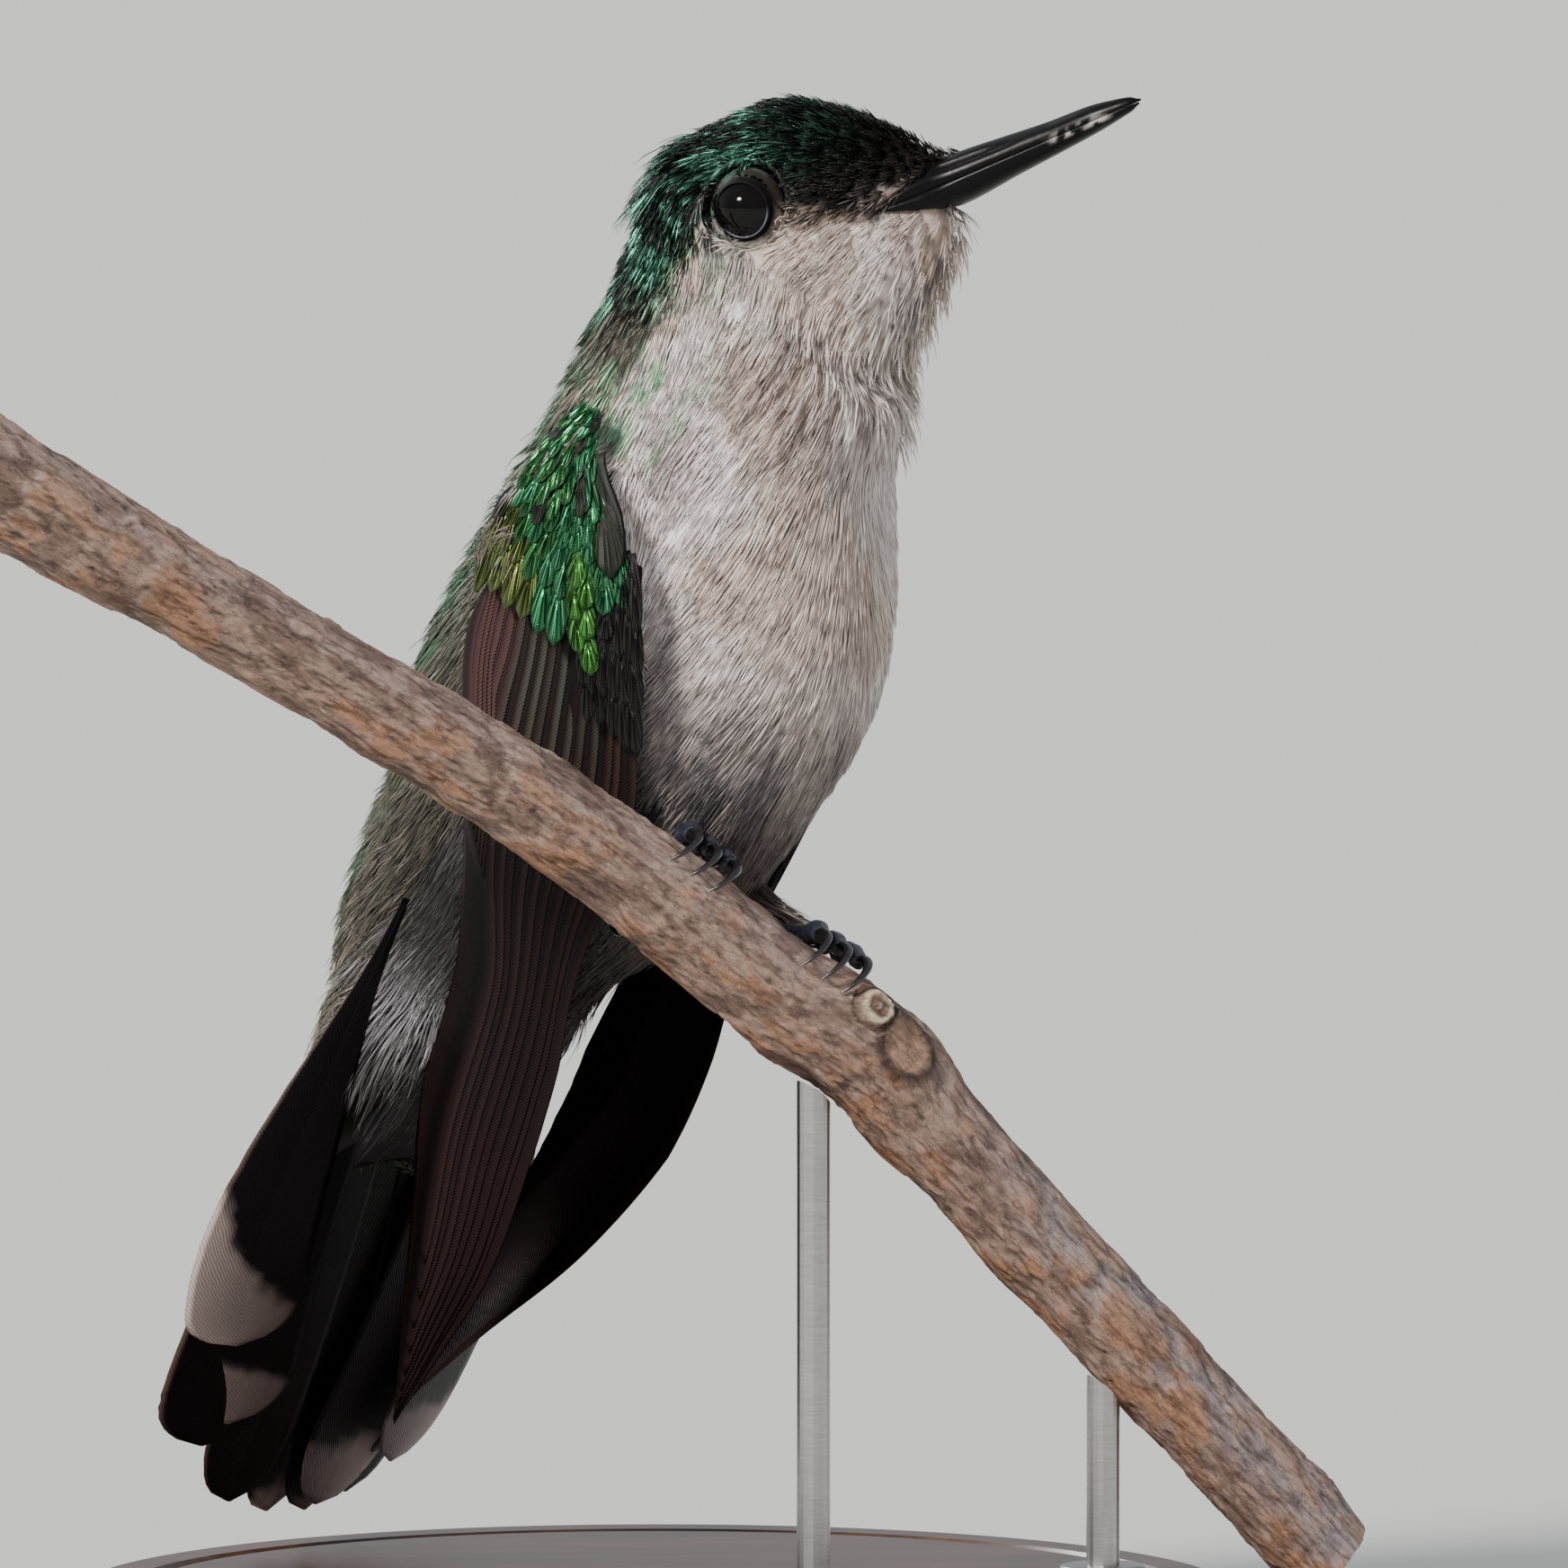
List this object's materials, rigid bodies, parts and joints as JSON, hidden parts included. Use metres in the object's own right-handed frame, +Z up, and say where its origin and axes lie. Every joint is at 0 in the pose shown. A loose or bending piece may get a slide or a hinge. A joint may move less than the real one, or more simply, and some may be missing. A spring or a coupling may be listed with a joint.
{
  "type": "hummingbird display model",
  "caption": "Life-size still model of a perched female crested hummingbird gripping a cut twig, held by slim rods on a round flat base.",
  "frame": {"origin": "centre of the base's underside, which is the bottom centre of the bounding box", "axes": "+Z up; +X to the side the bill points to; -Y towards the bird's right side, the side it is shown from"},
  "size_m": [0.0687, 0.058, 0.0776],
  "materials": {
    "plumage_pale": "soft grey-white body feathers, silky, with darker grey flecks",
    "plumage_green": "small metallic green feathers of crown, nape, wing coverts and back",
    "flight_feather": "dusky brown-black flight feathers with a faint purple sheen",
    "tail_feather": "blue-black tail feathers, the outer ones with pale tips",
    "bill_horn": "black horn, satin gloss",
    "eye_glass": "near-black eye, highly polished",
    "foot_scale": "blue-black scaled skin and claws, slight gloss",
    "twig_bark": "grey-pink bark with tan and orange-brown patches, rough",
    "stand_wood": "dark turned wood, satin varnish",
    "stand_steel": "fine brushed steel rods"
  },
  "bodies": {
    "root": {"bill_lower": "bill_horn", "bill_upper": "bill_horn", "eye_l": "eye_glass", "eye_r": "eye_glass", "head": "plumage_green", "leg_l": "foot_scale", "leg_r": "foot_scale", "neck": "plumage_pale", "perch": "twig_bark", "stand_base": "stand_wood", "stand_rod_short": "stand_steel", "stand_rod_tall": "stand_steel", "tail": "tail_feather", "tail_base": "plumage_pale", "toe_l_hind": "foot_scale", "toe_l_inner": "foot_scale", "toe_l_middle": "foot_scale", "toe_l_outer": "foot_scale", "toe_r_hind": "foot_scale", "toe_r_inner": "foot_scale", "toe_r_middle": "foot_scale", "toe_r_outer": "foot_scale", "trunk": "plumage_pale", "wing_l_coverts": "plumage_green", "wing_l_flight": "flight_feather", "wing_r_coverts": "plumage_green", "wing_r_flight": "flight_feather"}
  },
  "joints": []
}
